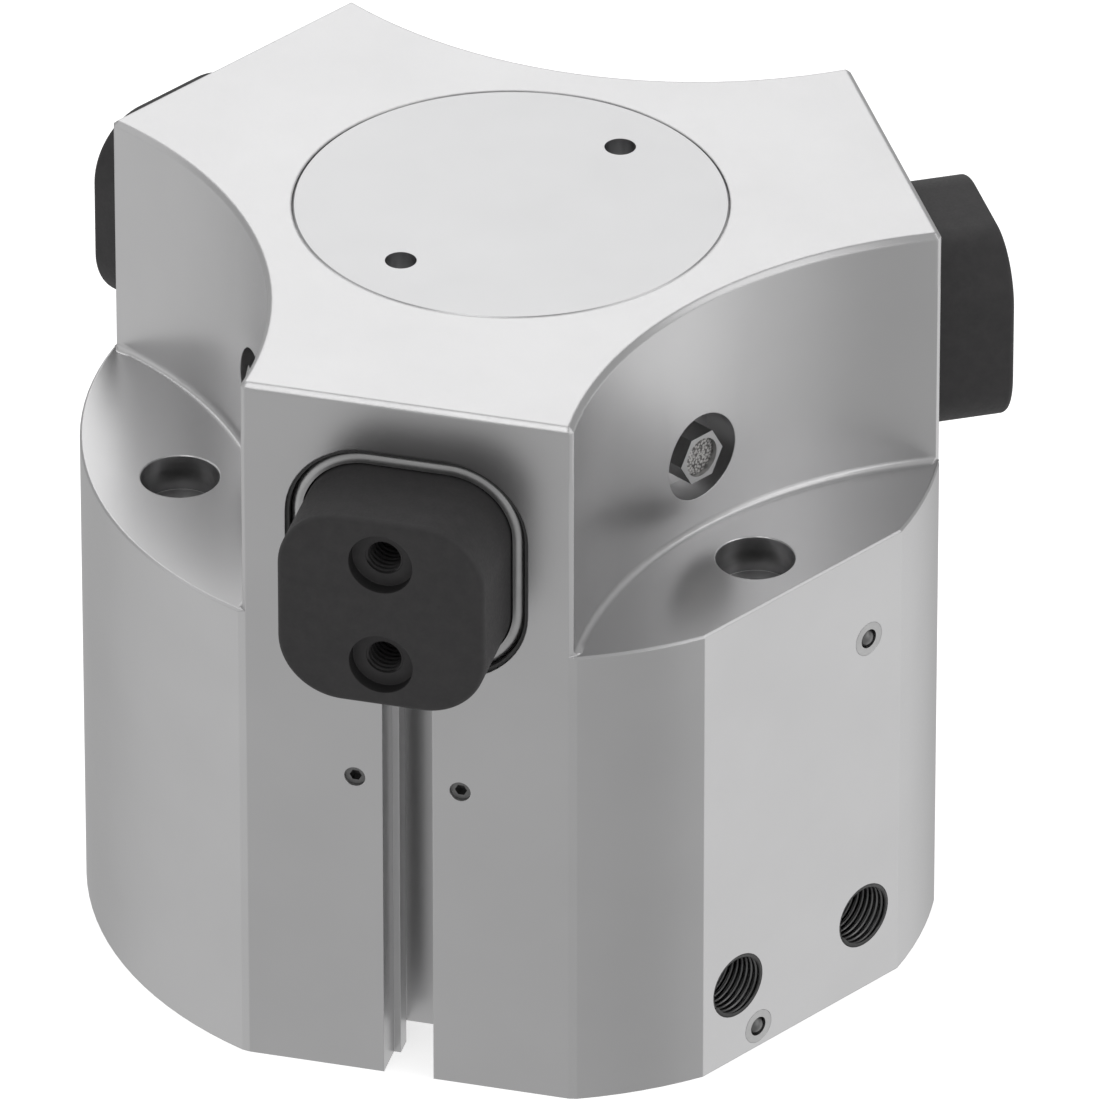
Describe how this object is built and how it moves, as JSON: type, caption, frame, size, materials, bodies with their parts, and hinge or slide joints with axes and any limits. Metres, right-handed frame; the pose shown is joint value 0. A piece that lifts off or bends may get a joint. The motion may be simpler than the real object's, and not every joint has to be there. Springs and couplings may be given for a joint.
{
  "type": "three jaw centric gripper",
  "caption": "Compact pneumatic gripper: a piston and wedge driver move black jaws evenly to and from the centre of a round, scooped aluminium body.",
  "frame": {"origin": "on the gripper's axis, in the plane of the face it is mounted on", "axes": "+Z along the gripper's axis towards the top cover; jaw 1 faces -Y, jaws 2 and 3 follow anticlockwise every 120 degrees; the ports face 30 degrees clockwise from +X"},
  "size_m": [0.1328, 0.1285, 0.109],
  "materials": {
    "anodised_housing": "satin clear anodised, finely blasted",
    "anodised_cover": "satin clear anodised, turned",
    "black_jaw": "matt black coated steel",
    "wiper_rubber": "matt black rubber",
    "seal_rubber": "smooth black rubber",
    "light_steel": "bright turned steel",
    "sintered_metal": "granular sintered metal",
    "steel": "hardened and ground",
    "dark_steel": "blackened steel",
    "bronze": "sintered bronze",
    "piston_aluminium": "turned",
    "guide_plastic": "filled fluoroplastic",
    "magnet_plastic": "plastic bonded magnet",
    "bumper_plastic": "elastic polyurethane"
  },
  "bodies": {
    "body": {"housing": "anodised_housing", "top_cover": "anodised_cover", "top_cover_seal": "seal_rubber", "bottom_cover": "anodised_cover", "bottom_cover_seal": "seal_rubber", "bottom_cover_screws": "steel", "rod_bush": "bronze", "rod_seal": "seal_rubber", "channel_plug_sleeves": "light_steel", "channel_plug_balls": "dark_steel", "grub_screws": "dark_steel", "jaw_wiper_1": "wiper_rubber", "wiper_frame_1": "light_steel", "vent_plug_1": "light_steel", "vent_filter_1": "sintered_metal", "jaw_wiper_2": "wiper_rubber", "wiper_frame_2": "light_steel", "vent_plug_2": "light_steel", "vent_filter_2": "sintered_metal", "jaw_wiper_3": "wiper_rubber", "wiper_frame_3": "light_steel", "vent_plug_3": "light_steel", "vent_filter_3": "sintered_metal"},
    "drive": {"piston": "piston_aluminium", "wedge_driver": "steel", "piston_screw": "steel", "piston_seal": "seal_rubber", "piston_guide_ring": "guide_plastic", "piston_magnet": "magnet_plastic", "upper_bumper": "bumper_plastic", "lower_bumper": "bumper_plastic"},
    "jaw_1": {"jaw_1": "black_jaw"},
    "jaw_2": {"jaw_2": "black_jaw"},
    "jaw_3": {"jaw_3": "black_jaw"}
  },
  "joints": [
    {"name": "piston_slide", "type": "slide", "parent": "body", "child": "drive", "axis": [0, 0, 1], "range_m": [-0.01732, 0]},
    {"name": "jaw_1_slide", "type": "slide", "parent": "body", "child": "jaw_1", "axis": [0, -1, 0], "range_m": [-0.01, 0]},
    {"name": "jaw_2_slide", "type": "slide", "parent": "body", "child": "jaw_2", "axis": [0.866, 0.5, 0], "range_m": [-0.01, 0]},
    {"name": "jaw_3_slide", "type": "slide", "parent": "body", "child": "jaw_3", "axis": [-0.866, 0.5, 0], "range_m": [-0.01, 0]}
  ],
  "couplings": [
    {"joint": "jaw_1_slide", "follows": "piston_slide", "ratio": 0.57735},
    {"joint": "jaw_2_slide", "follows": "piston_slide", "ratio": 0.57735},
    {"joint": "jaw_3_slide", "follows": "piston_slide", "ratio": 0.57735}
  ]
}
